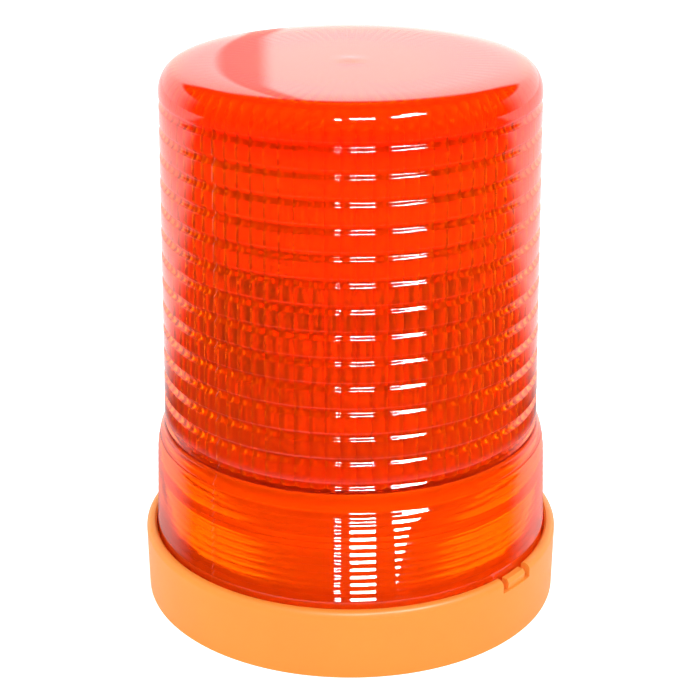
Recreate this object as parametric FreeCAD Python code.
import FreeCAD, Part
import math
import os

# Rotating warning beacon: orange base, amber lens, lamp, turning reflector and geared motor.
# Millimetres. +Z is up, the mounting face is z = 0, the axis of the lens is the Z axis, -Y is the front.

os.makedirs("parts", exist_ok=True)
V = FreeCAD.Vector

# ---------------------------------------------------------------- for every piece
join = 0.5                 # a rib, boss or lug reaches this far into the wall that carries it
past = 1.0                 # a cutter reaches this far beyond the face it opens

# ---------------------------------------------------------------- sizes of the lens
lens_top_d = 90.4          # over the first lip, under the shoulder
band_count = 14            # stepped bands between the shoulder and the skirt
band_pitch = 6.138
band_draft = 0.11          # each lip stands this much further out than the one above
band_step = 0.7            # depth of the recess under a lip
band_return = 0.35         # height of the undercut face
band_slope_h = 1.55        # height of the cone that runs out again
slope_short = 0.066        # the cone ends this far inside the lip below
flare_h = 5.3              # last band, which flares into the skirt
skirt_top_d = 95.5
skirt_mid_d = 97.3
skirt_foot_d = 99.2
skirt_h = 29.6             # skirt top down to its bottom edge
skirt_mid_drop = 6.5       # depth below the skirt top where the flare ends
rib_count = 12
rib_pitch = 1.94
rib_depth = 0.35
rib_start = 1.7            # first rib below the skirt top
rib_flank = 0.6            # share of the pitch over which a rib runs out
shoulder_h = 6.8
shoulder_reach = 4.6
shoulder_full = 0.94       # share of a quarter ellipse's drop at the middle of the shoulder
shoulder_foot = 0.4        # upright face above the first lip
crown = 0.6
lens_top_t = 2.4
lens_wall = 2.8            # lip to the crest between two flutes
skirt_wall = 1.9
flute_count = 78
flute_depth = 0.5
flute_flats = 4            # flats that make one hollow
fluted_shoulder = 5.5      # how far the flutes run in over the shoulder
flute_fade = 0.6           # share of the depth left at the end of the flutes
flute_top_drop = 1.0       # the flutes start to bend in this far below the first lip
neck_h = 2.4               # from the room over the collar up to the flutes
neck_in = 0.4              # that neck stands this far inside the flutes
lug_room = 1.6             # cone from the room of the lugs to the upper skirt
lug_count = 3
lug_angle = 9.0            # width of a bayonet lug, degrees
lug_h = 4.0
lug_ramp = 0.8             # slope on top of a lug
lug_at = -46.0             # first lug, degrees from +X

# ---------------------------------------------------------------- sizes of the base
base_h = 17.4
base_wall = 2.5
base_draft = 0.2
rim_round = 1.6
rim_edge = 0.5
skirt_gap = 0.3            # around the skirt, in the rim
channel_z = 11.7           # floor of the channel that takes the skirt
channel_web = 2.2
seal_t = 1.5
seal_gap = 0.3             # below the skirt's edge
floor_t = 3.0
collar_gap = 0.4           # between collar and upper skirt
collar_t = 2.5
collar_top = 41.6
collar_clear = 1.0         # the lens stays this far above the collar
collar_edge = 0.6
gasket_t = 1.5
gasket_land = 0.8          # floor left between gasket and inserts
cavity_in = 0.6            # the open ring under the channel starts this far outside the collar
cavity_rib_count = 12
cavity_rib_t = 1.6
cavity_rib_z = 1.0
cavity_rib_at = 15.0       # first rib, degrees
track_depth = 1.3
track_z0 = 18.4
track_z1 = 27.6
track_margin = 1.5         # beyond the lug at the locked end, degrees
twist_range = 28.0         # locked to free, degrees
notch_at = -39.5           # middle of the rim notch, degrees
notch_angle = 12.0
notch_depth = 3.4
finger_angle = 7.6
finger_at = -39.1          # middle of the finger, a little to one side in the notch
finger_foot_in = 0.7       # foot of the finger inside the rim
finger_knee_in = 0.4
finger_tip_in = 1.0
finger_knee_drop = 1.6     # knee and tip below the rim
finger_tip_drop = 0.7
insert_pcd = 74.0
insert_count = 3
insert_at = 90.0
insert_d = 6.4
insert_hole_d = 5.0
insert_h = 9.5
insert_boss_d = 11.0
insert_boss_h = 12.5
inlet_d = 10.0
grommet_bore_d = 6.0
grommet_lip = 1.5
grommet_lip_t = 1.2
grommet_edge = 0.4
insert_z0 = 0.2            # the inserts end this far above the mounting face
seal_clear = 0.1           # seal to the wall outside it
seal_reach = 1.2           # seal to the wall inside it

# ---------------------------------------------------------------- deck and fasteners
deck_z = 36.0
deck_t = 2.0
deck_gap = 0.3
boss_d = 8.0
boss_r = 38.0
boss_count = 3
boss_at = -50.0
boss_rib_t = 2.4           # rib that ties a boss to the collar
boss_rib_drop = 4.0        # top of the rib below the deck
pilot_d = 2.6
pilot_depth = 12.0
screw_d = 3.0
screw_clear = 0.2          # radial clearance of a screw in the deck
screw_head_d = 5.6
screw_head_h = 2.0
screw_l = 10.0
small_d = 2.0
small_head_d = 3.8
small_head_h = 1.2
small_grip = 3.0           # thread of a small screw below the deck
head_chamfer = 0.35        # share of the head's height
slot_reach = 0.6           # length of a cross-slot in head diameters
slot_t = 0.25              # width of a cross-slot in screw diameters
slot_floor = 0.55          # share of the head's height left under the slot
wire_hole_r = 2.5
wire_hole_out = 8.0        # wire passages outside the terminal block
wire_hole_turn = 14.0      # and to its sides, degrees

# ---------------------------------------------------------------- gear train
module = 0.8
pressure = 25.0            # degrees
addendum = 0.9             # in modules
dedendum = 1.2             # in modules
backlash = 0.16
ring_teeth = 54
idler_small_teeth = 11
idler_big_teeth = 32
pinion_teeth = 10
idler_at = -8.0            # direction of the idler pin, degrees
gear_lift = 1.7            # deck to the lower gears
low_gear_t = 2.5
gear_gap = 0.3             # between gears of different levels
thrust_t = 0.7
ring_t = 3.0
idler_pin_d = 3.0
idler_pin_over = 1.8       # pin above the ring gear
idler_foot_w = 1.2         # collar of the pin beyond its shank
idler_clip_w = 1.3         # clip beyond the shank
idler_groove = 0.4         # depth of the clip's groove
idler_groove_w = 1.0       # reach of the cutter that makes the groove
idler_clip_rise = 0.5      # clip above the ring gear
idler_clip_mouth = 1.8
idler_web_in = 2.2         # recess in the idler wheel, inside its pitch circle
idler_web_out = 2.0        # and outside that of its pinion
idler_web_depth = 0.8
gear_over = 0.2            # a pinion stands this much above the wheel that it drives
run_gap = 0.05             # radial running clearance
axial_gap = 0.1
clip_t = 0.8

# ---------------------------------------------------------------- lamp pillar and turntable
pillar_d = 22.0
pillar_top = 56.0
flange_d = 34.0
flange_t = 1.4
flange_screw_r = 14.4
bush_wall = 1.0
bush_flange_d = 30.0
hub_wall = 2.4
hub_h = 6.7
web_t = 1.6
clip_out = 1.6             # clip beyond the bush
clip_in = 0.5              # clip groove depth in the pillar
clip_gap = 0.3
clip_mouth = 4.0
pillar_chamfer = 1.2
pillar_chamfer_h = 2.0
ring_web_in = 1.8          # pocket in the ring gear, inside the roots
ring_web_out = 1.0         # and outside the hub

# ---------------------------------------------------------------- reflector
focal = 15.0               # vertex of the parabola to the lamp axis
half_w = 33.0
trough_steps = 8           # points of the parabola on each side
refl_wall = 1.6
refl_z0 = 49.8
refl_z1 = 124.0
refl_lip = 2.0
refl_lip_t = 1.2
foot_t = 1.6
foot_half_w = 12.0
foot_gap = 0.2             # between foot ring and hub
foot_edge = 0.4            # foot ring inside the roots of the teeth
refl_turn = 0.0            # the way it faces at rest, degrees about Z from the front

# ---------------------------------------------------------------- lamp and lampholder
shell_d = 17.4
shell_wall = 0.7
shell_z0 = 42.4
shell_top = 67.0
insulator_h = 6.0
cap_d = 15.2
cap_wall = 0.5
cap_z0 = 51.2
cap_h = 18.0
cap_floor_t = 2.0          # insulator that closes the cap
pin_z = 61.6
pin_d = 2.0
pin_reach = 0.85           # beyond the cap
slot_w = 2.7
slot_leg = 35.0            # degrees
slot_clear = 0.2           # slot below the pin at full push
leg_drop = 0.1             # top of the level leg below the pin axis
slot_cut = 3.0             # depth of the cutters for the slot
pocket_rise = 1.05         # pocket above the pin axis
push = 1.2                 # travel of the lamp against its spring
globe_d = 25.0
globe_z = 88.5
glass_t = 0.8
globe_blend = 0.62         # height of the blend below the middle, in globe radii
globe_top = 0.4            # where the top arc starts, radians from the axis
glass_grip = 4.0           # glass inside the cap
glass_neck = 0.8           # straight neck above the cap
stem_rise = 3.0            # stem above the cap
stem_r = (3.2, 2.6, 1.8)   # stem at its foot, at its shoulder and at its tip
stem_tip = 4.0
lead_r = 0.35
lead_half = 1.2            # from the axis to a lead
filament_r = 0.5
filament_z = 91.0
filament_l = 6.0
pip_h = 0.9
pip_d = 4.4
pip_round = 0.8
pip_edge = 0.3
contact_gap = 0.3
plunger_d = 4.6
plunger_flange_d = 6.4
plunger_flange_t = 0.8
plunger_head = 2.5
plunger_edge = 0.4
plunger_clear = 0.15       # flange in the insulator's bore
holder_floor_t = 1.2       # floor under the contact spring
wire_hole_small_r = 1.0    # supply wire through that floor
spring_wire = 0.6
spring_turns = 3
spring_clear = 0.2         # spring inside the plunger's flange
spring_end_gap = 0.05

# ---------------------------------------------------------------- motor
motor_d = 24.0
motor_can_h = 20.0
end_cap_h = 3.0
motor_bush_d = 6.0
motor_bush_h = 1.2
shaft_d = 2.0
shaft_over = 0.6
motor_screw_r = 8.0
motor_round = 1.0
motor_flat_w = 3.0
motor_flat_out = 0.7       # middle of the flat's cutter beyond the can
motor_bush_grip = 3.0      # bush and screws inside the can
motor_bore_l = 12.0
shaft_in = 11.5            # shaft below the deck's underside
motor_screw_hole_l = 4.0
end_cap_in = 1.0           # end cap inside the can's outline
end_cap_edge = 0.8
end_boss_r = 4.0
end_boss_h = 1.5
terminal_w = 2.4
terminal_t = 0.5
terminal_l = 3.2
terminal_r = 7.5           # from the motor's axis
terminal_eye_r = 0.5
terminal_eye_z = 1.2       # eye above the tip

# ---------------------------------------------------------------- terminal block
block_l = 15.0
block_w = 9.0
block_h = 9.0
block_at = 150.0           # degrees
block_r = 26.0
block_hole_d = 3.4
block_half_pitch = 3.75
block_floor = 3.0          # plastic under the clamp screws
block_side_r = 1.5         # wire entry
clamp_drop = 1.0           # clamp screw below the block's top
clamp_l = 3.0
clamp_slot_w = 0.7
clamp_slot_depth = 1.0
clamp_slot_turn = 40.0

# ---------------------------------------------------------------- values that follow from the above
skirt_r = skirt_foot_d / 2
rim_in_r = skirt_r + skirt_gap
base_r = rim_in_r + base_wall
seat_z = channel_z + seal_t + seal_gap            # bottom edge of the skirt
skirt_top_z = seat_z + skirt_h
first_lip_z = skirt_top_z + flare_h + band_pitch * (band_count - 1)
shoulder_z = first_lip_z + shoulder_h
top_r = lens_top_d / 2
upper_in_r = skirt_top_d / 2 - skirt_wall          # inside of the skirt next to the collar
lower_in_r = skirt_r - skirt_wall - rib_depth
collar_r = upper_in_r - collar_gap
collar_in_r = collar_r - collar_t
collar_cover_z = collar_top + collar_clear
deck_top = deck_z + deck_t
deck_r = collar_in_r - deck_gap
lug_in_r = collar_r - track_depth + collar_gap
lug_z = (track_z0 + track_z1) / 2
cavity_in_r = collar_r + cavity_in
gasket_out_r = collar_r
gasket_in_r = (insert_pcd + insert_d) / 2 + gasket_land
cavity_top = channel_z - channel_web
low_z0 = deck_top + gear_lift
low_z1 = low_z0 + low_gear_t
thrust_z0 = low_z1 + gear_gap
thrust_z1 = thrust_z0 + thrust_t
hub_z0 = thrust_z1 + axial_gap
ring_z0 = hub_z0 + axial_gap
ring_z1 = ring_z0 + ring_t
idler_dist = module * (ring_teeth + idler_small_teeth) / 2
motor_dist = module * (idler_big_teeth + pinion_teeth) / 2
motor_turn = 102.0         # motor seen from the idler pin, degrees from +X
bush_r = pillar_d / 2 + bush_wall
hub_bore_r = bush_r + run_gap
hub_r = hub_bore_r + hub_wall
hub_z1 = hub_z0 + hub_h
clip_z0 = hub_z1 + clip_gap
ring_root_r = module * (ring_teeth / 2 - dedendum)
foot_r = ring_root_r - foot_edge
shell_r = shell_d / 2
shell_in_r = shell_r - shell_wall
cap_r = cap_d / 2
cap_in_r = cap_r - cap_wall
cap_top = cap_z0 + cap_h
stem_top = cap_top + stem_rise
plunger_top = cap_z0 - pip_h - contact_gap
plunger_z0 = plunger_top - plunger_head - plunger_flange_t
spring_z0 = shell_z0 + holder_floor_t
pin_ways = (0.0, 180.0)


both = (-1, 1)


# ---------------------------------------------------------------- helpers
def polar(r, deg, z=0.0):
    a = math.radians(deg)
    return V(r * math.cos(a), r * math.sin(a), z)


def spun(points, angle=360.0, start=0.0):
    """Solid turned from a closed outline of (r, z) points; (r, z, r, z) is an arc's middle and end."""
    edges = []
    last = V(points[0][0], 0, points[0][1])
    first = last
    for p in list(points[1:]) + [points[0]]:
        end = V(p[-2], 0, p[-1])
        if len(p) == 4:
            edges.append(Part.Arc(last, V(p[0], 0, p[1]), end).toShape())
        elif (end - last).Length > 1e-7:
            edges.append(Part.makeLine(last, end))
        last = end
    face = Part.Face(Part.Wire(edges))
    solid = face.revolve(V(0, 0, 0), V(0, 0, 1), angle)
    if start:
        solid.rotate(V(0, 0, 0), V(0, 0, 1), start)
    return solid


def rod(r, z0, z1, at=V(0, 0, 0)):
    return Part.makeCylinder(r, z1 - z0, V(at.x, at.y, z0))


def tube(r1, r0, z0, z1, at=V(0, 0, 0)):
    return rod(r1, z0, z1, at).cut(rod(r0, z0 - past, z1 + past, at))


def block(lx, ly, z0, z1, at, turn=0.0):
    """Box centred on a point and turned about the vertical through it."""
    b = Part.makeBox(lx, ly, z1 - z0, V(-lx / 2, -ly / 2, z0))
    b.rotate(V(0, 0, 0), V(0, 0, 1), turn)
    b.translate(V(at.x, at.y, 0))
    return b


def ring_of(count, first, make):
    return [make(first + 360.0 / count * k) for k in range(count)]


def fused(shapes):
    out = shapes[0]
    if len(shapes) > 1:
        out = out.fuse(shapes[1:])
    return out.removeSplitter()


def round_edges(shape, z):
    """The full-circle edges of a shape that lie at height z."""
    return [e for e in shape.Edges if len(e.Vertexes) == 1 and abs(e.BoundBox.ZMin - z) < 1e-6]


def pan_screw(d, head_d, head_h, length, under_z, at):
    """Pan-head screw whose head stands on under_z, with a cross-slot."""
    top_z = under_z + head_h
    head = rod(head_d / 2, under_z, top_z, at)
    head = head.makeChamfer(head_h * head_chamfer, round_edges(head, top_z))
    shank = rod(d / 2, under_z - length, under_z, at)
    floor_z = under_z + head_h * slot_floor
    slot = block(head_d * slot_reach, d * slot_t, floor_z, top_z + past, at)
    cross = block(head_d * slot_reach, d * slot_t, floor_z, top_z + past, at, 90.0)
    return head.fuse(shank).removeSplitter().cut([slot, cross])


def involute_angle(base_r, r):
    """Polar angle of an involute at radius r, from its start on the base circle."""
    c = max(r, base_r) / base_r
    return math.sqrt(c * c - 1) - math.acos(1 / c)


def gear(teeth, z0, z1, phase=0.0, at=V(0, 0, 0)):
    """Spur gear whose flanks run through points of the involute; one tooth points to phase."""
    pitch_r = module * teeth / 2
    base = pitch_r * math.cos(math.radians(pressure))
    tip_r = pitch_r + addendum * module
    root_r = pitch_r - dedendum * module
    half = math.pi / (2 * teeth) - backlash / (2 * pitch_r)
    at_pitch = involute_angle(base, pitch_r)
    flank = [(root_r, half + at_pitch), (max(base, root_r), half + at_pitch - involute_angle(base, root_r))]
    if base <= root_r:
        flank = flank[1:]
    for r in (pitch_r, tip_r):
        flank.append((r, half + at_pitch - involute_angle(base, r)))
    points = []
    for k in range(teeth):
        mid = math.radians(phase) + 2 * math.pi * k / teeth
        for r, a in flank:
            points.append(V(r * math.cos(mid - a), r * math.sin(mid - a), z0))
        for r, a in reversed(flank):
            points.append(V(r * math.cos(mid + a), r * math.sin(mid + a), z0))
    solid = Part.Face(Part.makePolygon(points + [points[0]])).extrude(V(0, 0, z1 - z0))
    solid.translate(V(at.x, at.y, 0))
    return solid


# ---------------------------------------------------------------- lens
def lip_r(i):
    return top_r + band_draft * i


def lip_z(i):
    return first_lip_z - band_pitch * i


def skirt_r_at(z):
    """Outside radius of the skirt without its ribs: a flare that runs out into a slight taper."""
    mid_z = skirt_top_z - skirt_mid_drop
    if z > mid_z:
        t = (skirt_top_z - z) / skirt_mid_drop
        return skirt_top_d / 2 + (skirt_mid_d - skirt_top_d) / 2 * math.sin(t * math.pi / 2)
    t = (mid_z - z) / (mid_z - seat_z)
    return skirt_mid_d / 2 + (skirt_foot_d - skirt_mid_d) / 2 * t


def lens_outline():
    """Outside of the lens from the crown down to the foot of the skirt."""
    c = 1 - math.sqrt(0.5)
    bend = (top_r - shoulder_reach * c, shoulder_z - shoulder_h * c * shoulder_full)
    pts = [(0, shoulder_z + crown), (top_r - shoulder_reach, shoulder_z)]
    pts.append((*bend, top_r, first_lip_z + shoulder_foot))
    for i in range(band_count):
        z = lip_z(i)
        pts.append((lip_r(i), z))
        pts.append((lip_r(i) - band_step, z - band_return))
        if i < band_count - 1:
            pts.append((lip_r(i + 1) - slope_short, z - band_return - band_slope_h))
    pts.append((skirt_top_d / 2, skirt_top_z))
    for k in range(rib_count):
        z = skirt_top_z - rib_start - rib_pitch * k
        pts.append((skirt_r_at(z) - rib_depth, z))
        pts.append((skirt_r_at(z), z - rib_pitch * rib_flank))
    z = skirt_top_z - rib_start - rib_pitch * rib_count
    pts += [(skirt_r_at(z) - rib_depth, z), (skirt_r_at(z), z - rib_depth), (skirt_r, seat_z)]
    return pts


def scallops(r, depth, z):
    """Closed outline of the fluted inside: each flute is a shallow hollow of a few flats."""
    pts = []
    for k in range(flute_count * flute_flats):
        t = (k % flute_flats) / flute_flats
        pts.append(polar(r + depth * 4 * t * (1 - t), 360.0 * k / (flute_count * flute_flats), z))
    return Part.makePolygon(pts + [pts[0]])


def lens_cavity():
    """Everything inside the lens: fluted wall, fluted bend of the shoulder, and the plain skirt."""
    low_z = collar_cover_z + neck_h
    low_r = lip_r(band_count - 1) - lens_wall
    high_r = top_r - lens_wall
    low = scallops(low_r, flute_depth, low_z)
    high = scallops(high_r, flute_depth, first_lip_z - flute_top_drop)
    roof = scallops(high_r - fluted_shoulder, flute_depth * flute_fade, shoulder_z - lens_top_t)
    neck_r = low_r - neck_in
    lug_top = track_z1 + lug_h
    skirt = spun([
        (0, seat_z - past), (lower_in_r, seat_z - past), (lower_in_r, lug_top),
        (upper_in_r, lug_top + lug_room), (upper_in_r, collar_cover_z),
        (neck_r, low_z), (neck_r, low_z + past), (0, low_z + past),
    ])
    return Part.makeLoft([low, high], True, True).fuse([Part.makeLoft([high, roof], True, True), skirt])


def lens_lug(a):
    """Bayonet lug inside the skirt, sloped on top."""
    low = lug_z - lug_h / 2
    high = lug_z + lug_h / 2
    wall = lower_in_r + join
    outline = [(lug_in_r, low), (wall, low), (wall, high), (lug_in_r, high - lug_ramp)]
    return spun(outline, lug_angle, a - lug_angle / 2)


def lens_dome():
    lens = spun(lens_outline() + [(0, seat_z)]).cut(lens_cavity())
    return fused([lens] + ring_of(lug_count, lug_at, lens_lug))


# ---------------------------------------------------------------- base
def base_shell():
    """Turned body: outer wall with a rounded rim, channel for the skirt, and the collar inside the lens."""
    c = rim_round * (1 - math.sqrt(0.5))
    body = spun([
        (0, 0), (base_r - base_draft, 0), (base_r, base_h - rim_round),
        (base_r - c, base_h - c, base_r - rim_round, base_h),
        (rim_in_r + rim_edge, base_h), (rim_in_r, base_h - rim_edge), (rim_in_r, channel_z),
        (collar_r, channel_z), (collar_r, collar_top - collar_edge), (collar_r - collar_edge, collar_top),
        (collar_in_r, collar_top), (collar_in_r, floor_t), (0, floor_t),
    ])
    return body.cut([
        tube(gasket_out_r, gasket_in_r, -past, gasket_t),
        tube(rim_in_r, cavity_in_r, -past, cavity_top),
        rod(inlet_d / 2, -past, floor_t + past),
        rod(inlet_d / 2 + grommet_lip, -past, grommet_lip_t),
    ])


def deck_boss(a):
    """Screw boss for the deck, tied to the collar by a rib."""
    length = collar_in_r - boss_r + 2 * join
    middle = polar((collar_in_r + boss_r) / 2 + join, a)
    rib = block(length, boss_rib_t, floor_t - join, deck_z - boss_rib_drop, middle, a)
    return rod(boss_d / 2, floor_t - join, deck_z, polar(boss_r, a)).fuse(rib)


def deck_pilot(a):
    return rod(pilot_d / 2, deck_z - pilot_depth, deck_z + past, polar(boss_r, a))


def insert_boss(a):
    return rod(insert_boss_d / 2, floor_t - join, insert_boss_h, polar(insert_pcd / 2, a))


def insert_hole(a):
    return rod(insert_d / 2, -past, insert_h, polar(insert_pcd / 2, a))


def cavity_rib(a):
    """Upright rib across the open ring under the channel."""
    length = rim_in_r - cavity_in_r + join
    top = cavity_top + join / 2
    return block(length, cavity_rib_t, cavity_rib_z, top, polar((cavity_in_r + rim_in_r) / 2, a), a)


def lug_track(a):
    """Bayonet track: a level run for one lug, and the slot by which the lug enters from above."""
    start = a - lug_angle / 2 - track_margin
    wide = lug_angle + 2 * track_margin
    floor_r = collar_r - track_depth
    out_r = collar_r + past

    def run(z0, z1, angle, first):
        return spun([(floor_r, z0), (out_r, z0), (out_r, z1), (floor_r, z1)], angle, first)

    level = run(track_z0, track_z1, twist_range + wide, start)
    return level.fuse(run(track_z1 - past, collar_top + past, wide, start + twist_range))


def rim_notch():
    low = base_h - notch_depth
    inner = rim_in_r - join / 5
    outline = [(inner, low), (base_r + past, low), (base_r + past, base_h + past), (inner, base_h + past)]
    return spun(outline, notch_angle, notch_at - notch_angle / 2)


def latch_finger():
    """Rounded finger that stands in the notch."""
    low = base_h - notch_depth - join
    return spun([
        (rim_in_r, low), (base_r - finger_foot_in, low),
        (base_r - finger_knee_in, base_h - finger_knee_drop),
        (base_r - finger_tip_in, base_h - finger_tip_drop), (rim_in_r, base_h - finger_tip_drop),
    ], finger_angle, finger_at - finger_angle / 2)


def base_housing():
    adds = ring_of(boss_count, boss_at, deck_boss)
    adds += ring_of(insert_count, insert_at, insert_boss)
    adds += ring_of(cavity_rib_count, cavity_rib_at, cavity_rib)
    cuts = ring_of(boss_count, boss_at, deck_pilot)
    cuts += ring_of(insert_count, insert_at, insert_hole)
    cuts += ring_of(lug_count, lug_at, lug_track)
    cuts.append(rim_notch())
    return fused([base_shell().fuse(adds).cut(cuts), latch_finger()])


def base_gasket():
    return tube(gasket_out_r, gasket_in_r, 0, gasket_t)


def lens_seal():
    return tube(skirt_r - seal_clear, collar_r + seal_reach, channel_z, channel_z + seal_t)


def threaded_insert(a):
    return tube(insert_d / 2, insert_hole_d / 2, insert_z0, insert_h, polar(insert_pcd / 2, a))


def cable_grommet():
    r = inlet_d / 2
    out = r + grommet_lip
    bore_r = grommet_bore_d / 2
    return spun([
        (bore_r, 0), (out, 0), (out, grommet_lip_t), (r, grommet_lip_t), (r, floor_t), (out, floor_t),
        (out - grommet_edge, floor_t + grommet_lip_t), (bore_r, floor_t + grommet_lip_t),
    ])


# ---------------------------------------------------------------- deck
idler_axis = polar(idler_dist, idler_at)
motor_axis = idler_axis + polar(motor_dist, motor_turn)
motor_way = math.degrees(math.atan2(motor_axis.y, motor_axis.x))


def motor_screw_at(k):
    return motor_axis + polar(motor_screw_r, motor_way + 90 + 180 * k)


def flange_screw_at(k):
    return polar(flange_screw_r, idler_at + 108 + 72 * k)


def through_deck(r, at=V(0, 0, 0)):
    return rod(r, deck_z - past, deck_top + past, at)


def deck_plate():
    """Round plate with holes for its screws, the lampholder, the motor, the idler pin and the wires."""
    screw_r = screw_d / 2 + screw_clear
    holes = ring_of(boss_count, boss_at, lambda a: through_deck(screw_r, polar(boss_r, a)))
    holes += [through_deck(shell_in_r), through_deck(motor_bush_d / 2, motor_axis)]
    holes.append(through_deck(idler_pin_d / 2, idler_axis))
    holes += [through_deck(small_d / 2, motor_screw_at(k)) for k in range(2)]
    holes += [through_deck(small_d / 2, flange_screw_at(k)) for k in range(3)]
    for side in both:
        at = polar(block_r + wire_hole_out, block_at + side * wire_hole_turn)
        holes.append(through_deck(wire_hole_r, at))
    return rod(deck_r, deck_z, deck_top).cut(holes)


def deck_screw(a):
    return pan_screw(pilot_d, screw_head_d, screw_head_h, screw_l, deck_top, polar(boss_r, a))


def around_idler(out, reach_in, z0, z1):
    """Ring round the idler pin, from inside its shank's surface to outside it."""
    return tube(idler_pin_d / 2 + out, idler_pin_d / 2 - reach_in, z0, z1, idler_axis)


def idler_pin():
    groove_z = ring_z1 + idler_clip_rise
    pin = rod(idler_pin_d / 2, deck_z, ring_z1 + idler_pin_over, idler_axis)
    foot = around_idler(idler_foot_w, idler_groove / 2, deck_top, low_z0 - gear_gap)
    groove = around_idler(idler_groove_w, idler_groove, groove_z, groove_z + clip_t)
    return pin.fuse(foot).removeSplitter().cut(groove)


def idler_clip():
    z0 = ring_z1 + idler_clip_rise
    ring = around_idler(idler_clip_w, idler_groove, z0, z0 + clip_t)
    reach = idler_pin_d / 2 + past
    length = reach + idler_groove_w + join
    return ring.cut(block(length, idler_clip_mouth, ring_z1, z0 + clip_t + past, idler_axis + V(reach, 0, 0)))


def idler_gear():
    """Wheel and pinion in one piece, running on the idler pin."""
    small_phase = idler_at + 180 + 180.0 / idler_small_teeth
    wheel = gear(idler_big_teeth, low_z0, low_z1, motor_turn, idler_axis)
    small = gear(idler_small_teeth, low_z1, ring_z1 + gear_over, small_phase, idler_axis)
    web_out = module * idler_big_teeth / 2 - idler_web_in
    web_in = module * idler_small_teeth / 2 + idler_web_out
    web = tube(web_out, web_in, low_z1 - idler_web_depth, low_z1 + past, idler_axis)
    bore = rod(idler_pin_d / 2 + run_gap, low_z0 - past, ring_z1 + 2 * past, idler_axis)
    return wheel.fuse(small).removeSplitter().cut([web, bore])


# ---------------------------------------------------------------- motor
def motor_can():
    """Drawn can with two flats, hung under the deck."""
    z0 = deck_z - motor_can_h
    can = rod(motor_d / 2, z0, deck_z, motor_axis)
    can = can.makeFillet(motor_round, round_edges(can, deck_z))
    cuts = []
    for side in both:
        at = motor_axis + polar(motor_d / 2 + motor_flat_out, motor_way + side * 90)
        cuts.append(block(motor_d, motor_flat_w, z0 - past, deck_z + past, at, motor_way))
    thread_z = deck_z - motor_screw_hole_l
    cuts += [rod(small_d / 2, thread_z, deck_z + past, motor_screw_at(k)) for k in range(2)]
    cuts.append(rod(motor_bush_d / 2, deck_z - motor_bush_grip, deck_z + past, motor_axis))
    cuts.append(rod(shaft_d / 2 + run_gap, deck_z - motor_bore_l, deck_z, motor_axis))
    return can.cut(cuts)


def motor_bush():
    return tube(motor_bush_d / 2, shaft_d / 2 + run_gap, deck_z - motor_bush_grip, deck_top, motor_axis)


def motor_end_cap():
    z1 = deck_z - motor_can_h
    z0 = z1 - end_cap_h
    cap = rod(motor_d / 2 - end_cap_in, z0, z1, motor_axis)
    cap = cap.makeChamfer(end_cap_edge, round_edges(cap, z0))
    return cap.fuse(rod(end_boss_r, z0 - end_boss_h, z0, motor_axis)).removeSplitter()


def motor_terminal(side):
    """Solder tag with an eye."""
    z1 = deck_z - motor_can_h - end_cap_h
    at = motor_axis + polar(terminal_r, motor_way + side * 90)
    tag = block(terminal_w, terminal_t, z1 - terminal_l, z1, at, motor_way)
    across = polar(1, motor_way + 90)
    eye_at = at + V(0, 0, z1 - terminal_l + terminal_eye_z) - across * past
    return tag.cut(Part.makeCylinder(terminal_eye_r, 2 * past, eye_at, across))


def motor_screw(k):
    return pan_screw(small_d, small_head_d, small_head_h, deck_t + small_grip, deck_top, motor_screw_at(k))


def motor_shaft():
    return rod(shaft_d / 2, deck_z - shaft_in, low_z1 + gear_gap + shaft_over, motor_axis)


def motor_pinion():
    """The tooth gap that faces the idler takes the idler wheel's tooth."""
    phase = motor_turn + 180 + 180.0 / pinion_teeth
    pinion = gear(pinion_teeth, low_z0, low_z1 + gear_over, phase, motor_axis)
    return pinion.cut(rod(shaft_d / 2, low_z0 - past, low_z1 + past, motor_axis))


# ---------------------------------------------------------------- pillar and turntable
def lamp_pillar():
    """Hollow pillar that carries the lampholder inside and the turntable's bush outside."""
    r = pillar_d / 2
    flange_top = deck_top + flange_t
    body = spun([
        (shell_in_r, deck_top), (flange_d / 2, deck_top), (flange_d / 2, flange_top), (r, flange_top),
        (r, clip_z0), (r - clip_in, clip_z0), (r - clip_in, clip_z0 + clip_t), (r, clip_z0 + clip_t),
        (r, pillar_top - pillar_chamfer_h), (r - pillar_chamfer, pillar_top), (shell_r, pillar_top),
        (shell_r, shell_z0), (shell_in_r, shell_z0),
    ])
    high = flange_top + past
    return body.cut([rod(small_d / 2, deck_top - past, high, flange_screw_at(k)) for k in range(3)])


def pillar_screw(k):
    under_z = deck_top + flange_t
    return pan_screw(small_d, small_head_d, small_head_h, flange_t + deck_t, under_z, flange_screw_at(k))


def turntable_bush():
    """Plain bearing with a thrust flange, pressed on the pillar."""
    bore = pillar_d / 2
    flange = bush_flange_d / 2
    low = deck_top + flange_t
    high = hub_z1 + axial_gap
    return spun([
        (bore, low), (bush_r, low), (bush_r, thrust_z0), (flange, thrust_z0),
        (flange, thrust_z1), (bush_r, thrust_z1), (bush_r, high), (bore, high),
    ])


def turntable_clip():
    ring = tube(bush_r + clip_out, pillar_d / 2 - clip_in, clip_z0, clip_z0 + clip_t)
    mouth_l = 2 * (bush_wall + clip_out + past)
    mouth = block(mouth_l, clip_mouth, clip_z0 - past, clip_z0 + clip_t + past, polar(bush_r, 90), 90)
    return ring.cut(mouth)


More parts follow.
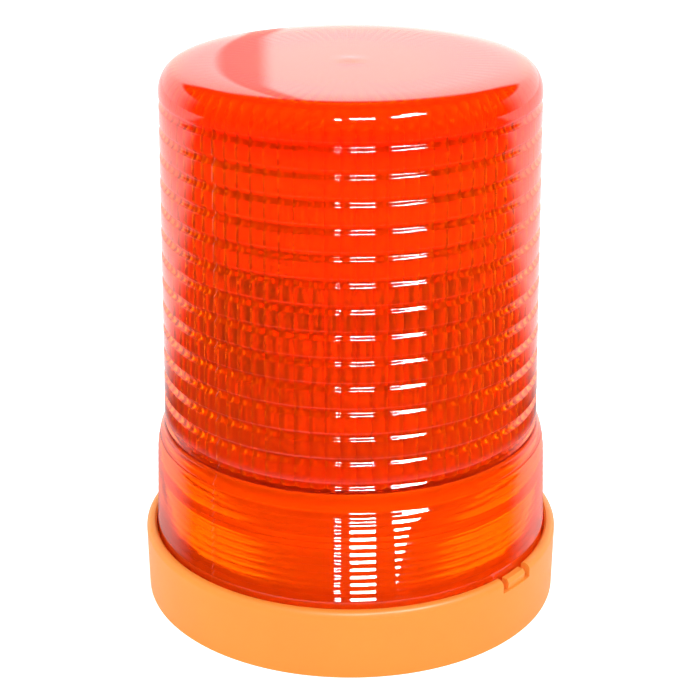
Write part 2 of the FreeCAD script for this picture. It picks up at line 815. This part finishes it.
def turntable_gear():
    """Ring gear on a hub; one tooth points to the idler pin."""
    teeth = gear(ring_teeth, ring_z0, ring_z1, idler_at)
    pocket = tube(ring_root_r - ring_web_in, hub_r + ring_web_out, ring_z0 - past, ring_z1 - web_t)
    holes = [rod(hub_bore_r, hub_z0 - past, hub_z1 + past)]
    holes += [rod(small_d / 2, ring_z0 - past, ring_z1 + past, foot_screw_at(k)) for k in range(3)]
    return teeth.cut(pocket).fuse(rod(hub_r, hub_z0, hub_z1)).removeSplitter().cut(holes)


# ---------------------------------------------------------------- reflector
def foot_screw_at(k):
    return polar((hub_r + foot_gap + foot_r) / 2, refl_turn + 30 + 120 * k)


def trough(z0, z1, inside, outside):
    """Parabolic wall between z0 and z1, from inside to outside of the mirror surface."""

    def curve(out):
        pts = []
        for i in range(-trough_steps, trough_steps + 1):
            x = half_w * i / trough_steps
            y = focal - x * x / (4 * focal)
            nx, ny = x / (2 * focal), 1.0
            length = math.hypot(nx, ny)
            pts.append(V(x + out * nx / length, y + out * ny / length, z0))
        spline = Part.BSplineCurve()
        spline.interpolate(pts)
        return spline.toShape(), pts

    inner, a = curve(inside)
    outer, b = curve(outside)
    wire = Part.Wire([inner, Part.makeLine(a[-1], b[-1]), outer, Part.makeLine(b[0], a[0])])
    return Part.Face(wire).extrude(V(0, 0, z1 - z0))


def reflector_shell():
    """Parabolic mirror on a narrow stem, with a lip behind each end and a foot ring on the turntable."""
    wall = trough(ring_z1, refl_z1, 0.0, refl_wall)
    side_w = half_w + refl_wall - foot_half_w + past
    for side in both:
        at = V(side * (foot_half_w + side_w / 2), 0, 0)
        wall = wall.cut(block(side_w, 2 * base_r, ring_z1 - past, refl_z0, at))
    lip_feet = (refl_z0, refl_z1 - refl_lip_t)
    lips = [trough(z, z + refl_lip_t, refl_wall / 2, refl_wall + refl_lip) for z in lip_feet]
    foot = tube(foot_r, hub_r + foot_gap, ring_z1, ring_z1 + foot_t)
    shell = fused([wall, foot] + lips)
    shell.rotate(V(0, 0, 0), V(0, 0, 1), refl_turn)
    top = ring_z1 + foot_t + past
    return shell.cut([rod(small_d / 2, ring_z1 - past, top, foot_screw_at(k)) for k in range(3)])


def foot_screw(k):
    under_z = ring_z1 + foot_t
    return pan_screw(small_d, small_head_d, small_head_h, foot_t + web_t, under_z, foot_screw_at(k))


# ---------------------------------------------------------------- lampholder and lamp
def pin_slot(a):
    """J-shaped slot: straight down, along, and up into the pocket that holds the pin."""
    low = pin_z - push - pin_d / 2 - slot_clear
    inner = shell_in_r - join
    outer = shell_r + join
    high = pin_z - leg_drop
    entry = block(slot_cut, slot_w, low, shell_top + past, polar(shell_r - join, a), a)
    leg = spun([(inner, low), (outer, low), (outer, high), (inner, high)], slot_leg, a)
    end = a + slot_leg
    pocket = block(slot_cut, slot_w, low, pin_z + pocket_rise, polar(shell_r - join, end), end)
    return entry.fuse([leg, pocket])


def lampholder_shell():
    return tube(shell_r, shell_in_r, shell_z0, shell_top).cut([pin_slot(a - slot_leg) for a in pin_ways])


def lampholder_insulator():
    bore = plunger_flange_d / 2 + plunger_clear
    top = shell_z0 + insulator_h
    return spun([
        (wire_hole_small_r, shell_z0), (shell_in_r, shell_z0), (shell_in_r, top), (bore, top),
        (bore, spring_z0), (wire_hole_small_r, spring_z0),
    ])


def contact_plunger():
    flange = plunger_flange_d / 2
    flange_top = plunger_z0 + plunger_flange_t
    r = plunger_d / 2
    return spun([
        (0, plunger_z0), (flange, plunger_z0), (flange, flange_top), (r, flange_top),
        (r, plunger_top - plunger_edge), (r - plunger_edge, plunger_top), (0, plunger_top),
    ])


def contact_spring():
    """Round-wire compression spring under the plunger."""
    r = plunger_flange_d / 2 - spring_wire / 2 - spring_clear
    height = plunger_z0 - spring_z0 - spring_wire - 2 * spring_end_gap
    helix = Part.makeHelix(height / spring_turns, height, r)
    start = Part.Wire(Part.makeCircle(spring_wire / 2, V(r, 0, 0), V(0, 1, 0)))
    coil = Part.Wire(helix.Edges).makePipeShell([start], True, True)
    coil.translate(V(0, 0, spring_z0 + spring_wire / 2 + spring_end_gap))
    return coil


def bulb_cap():
    pin_holes = Part.makeCylinder(pin_d / 2, 2 * (cap_r + past), V(-cap_r - past, 0, pin_z), V(1, 0, 0))
    return tube(cap_r, cap_in_r, cap_z0, cap_top).cut(pin_holes)


def bulb_pin(a):
    return Part.makeCylinder(pin_d / 2, cap_wall + pin_reach, polar(cap_in_r, a, pin_z), polar(1, a))


def bulb_insulator():
    return rod(cap_in_r, cap_z0, cap_z0 + cap_floor_t)


def bulb_pip():
    low = cap_z0 - pip_h
    r = pip_d / 2
    return spun([(0, low), (r - pip_round, low), (r, cap_z0 - pip_edge), (r, cap_z0), (0, cap_z0)])


def bulb_glass():
    """Pear-shaped envelope: neck in the cap, round globe, blown from one wall thickness."""
    foot_z = cap_top - glass_grip
    neck_z = cap_top + glass_neck

    def globe(r):
        """Points up a globe of this radius, from the neck's cone to the top."""
        blend = (r * math.sqrt(1 - globe_blend ** 2), globe_z - r * globe_blend)
        c = r * math.sqrt(0.5)
        near_top = (r * math.sin(globe_top), globe_z + r * math.cos(globe_top))
        return blend, (r, globe_z), (c, globe_z + c), near_top, (0, globe_z + r)

    blend, side, between, near_top, top = globe(globe_d / 2)
    in_blend, in_side, in_between, in_near_top, in_top = globe(globe_d / 2 - glass_t)
    return spun([
        (cap_in_r - glass_t, foot_z), (cap_in_r, foot_z), (cap_in_r, neck_z), blend,
        (*side, *between), (*near_top, *top), in_top,
        (*in_near_top, *in_between), (*in_side, *in_blend), (cap_in_r - glass_t, neck_z),
    ])


def bulb_stem():
    foot_z = cap_z0 + cap_floor_t
    foot, shoulder, tip = stem_r
    shoulder_at = stem_top - stem_tip
    return spun([(0, foot_z), (foot, foot_z), (shoulder, shoulder_at), (tip, stem_top), (0, stem_top)])


def bulb_lead(side):
    return rod(lead_r, stem_top, filament_z, V(side * lead_half, 0, 0))


def bulb_filament():
    start = V(-filament_l / 2, 0, filament_z + filament_r)
    return Part.makeCylinder(filament_r, filament_l, start, V(1, 0, 0))


# ---------------------------------------------------------------- terminal block
def clamp_at(side):
    return polar(block_r, block_at) + polar(side * block_half_pitch, block_at + 90)


def terminal_block():
    """Two-pole block with a clamp screw and a wire entry for each pole."""
    z1 = floor_t + block_h
    body = block(block_w, block_l, floor_t, z1, polar(block_r, block_at), block_at)
    cuts = []
    for side in both:
        cuts.append(rod(block_hole_d / 2, floor_t + block_floor, z1 + past, clamp_at(side)))
        entry_at = clamp_at(side) - polar(block_w / 2 + past, block_at) + V(0, 0, floor_t + block_floor)
        cuts.append(Part.makeCylinder(block_side_r, block_w + 2 * past, entry_at, polar(1, block_at)))
    return body.cut(cuts)


def terminal_screw(side):
    at = clamp_at(side)
    top = floor_t + block_h - clamp_drop
    slot_l = block_hole_d + past
    slot = block(slot_l, clamp_slot_w, top - clamp_slot_depth, top + past, at, block_at + clamp_slot_turn)
    return rod(block_hole_d / 2, top - clamp_l, top, at).cut(slot)


# ---------------------------------------------------------------- the set of pieces
pieces = {
    "base_housing": [base_housing()],
    "base_gasket": [base_gasket()],
    "mounting_inserts": ring_of(insert_count, insert_at, threaded_insert),
    "cable_grommet": [cable_grommet()],
    "lens_seal": [lens_seal()],
    "deck_plate": [deck_plate()],
    "deck_screws": ring_of(boss_count, boss_at, deck_screw),
    "terminal_block": [terminal_block()],
    "terminal_screws": [terminal_screw(side) for side in both],
    "motor_can": [motor_can()],
    "motor_end_cap": [motor_end_cap()],
    "motor_bush": [motor_bush()],
    "motor_terminals": [motor_terminal(side) for side in both],
    "motor_screws": [motor_screw(k) for k in range(2)],
    "motor_shaft": [motor_shaft()],
    "motor_pinion": [motor_pinion()],
    "idler_pin": [idler_pin()],
    "idler_clip": [idler_clip()],
    "idler_gear": [idler_gear()],
    "lamp_pillar": [lamp_pillar()],
    "pillar_screws": [pillar_screw(k) for k in range(3)],
    "turntable_bush": [turntable_bush()],
    "turntable_clip": [turntable_clip()],
    "turntable_gear": [turntable_gear()],
    "reflector_shell": [reflector_shell()],
    "reflector_screws": [foot_screw(k) for k in range(3)],
    "lampholder_shell": [lampholder_shell()],
    "lampholder_insulator": [lampholder_insulator()],
    "contact_spring": [contact_spring()],
    "contact_plunger": [contact_plunger()],
    "bulb_cap": [bulb_cap()],
    "bulb_pins": [bulb_pin(a) for a in pin_ways],
    "bulb_insulator": [bulb_insulator()],
    "bulb_contact": [bulb_pip()],
    "bulb_stem": [bulb_stem()],
    "bulb_leads": [bulb_lead(side) for side in both],
    "bulb_filament": [bulb_filament()],
    "bulb_glass": [bulb_glass()],
    "lens_dome": [lens_dome()],
}

for name, solids in pieces.items():
    shape = solids[0] if len(solids) == 1 else Part.makeCompound(solids)
    shape.exportStep("parts/" + name + ".step")
    box = shape.BoundBox
    print("%-22s solids %d valid %s volume %9.1f  z %6.2f to %6.2f" % (
        name, len(shape.Solids), shape.isValid(), shape.Volume, box.ZMin, box.ZMax))
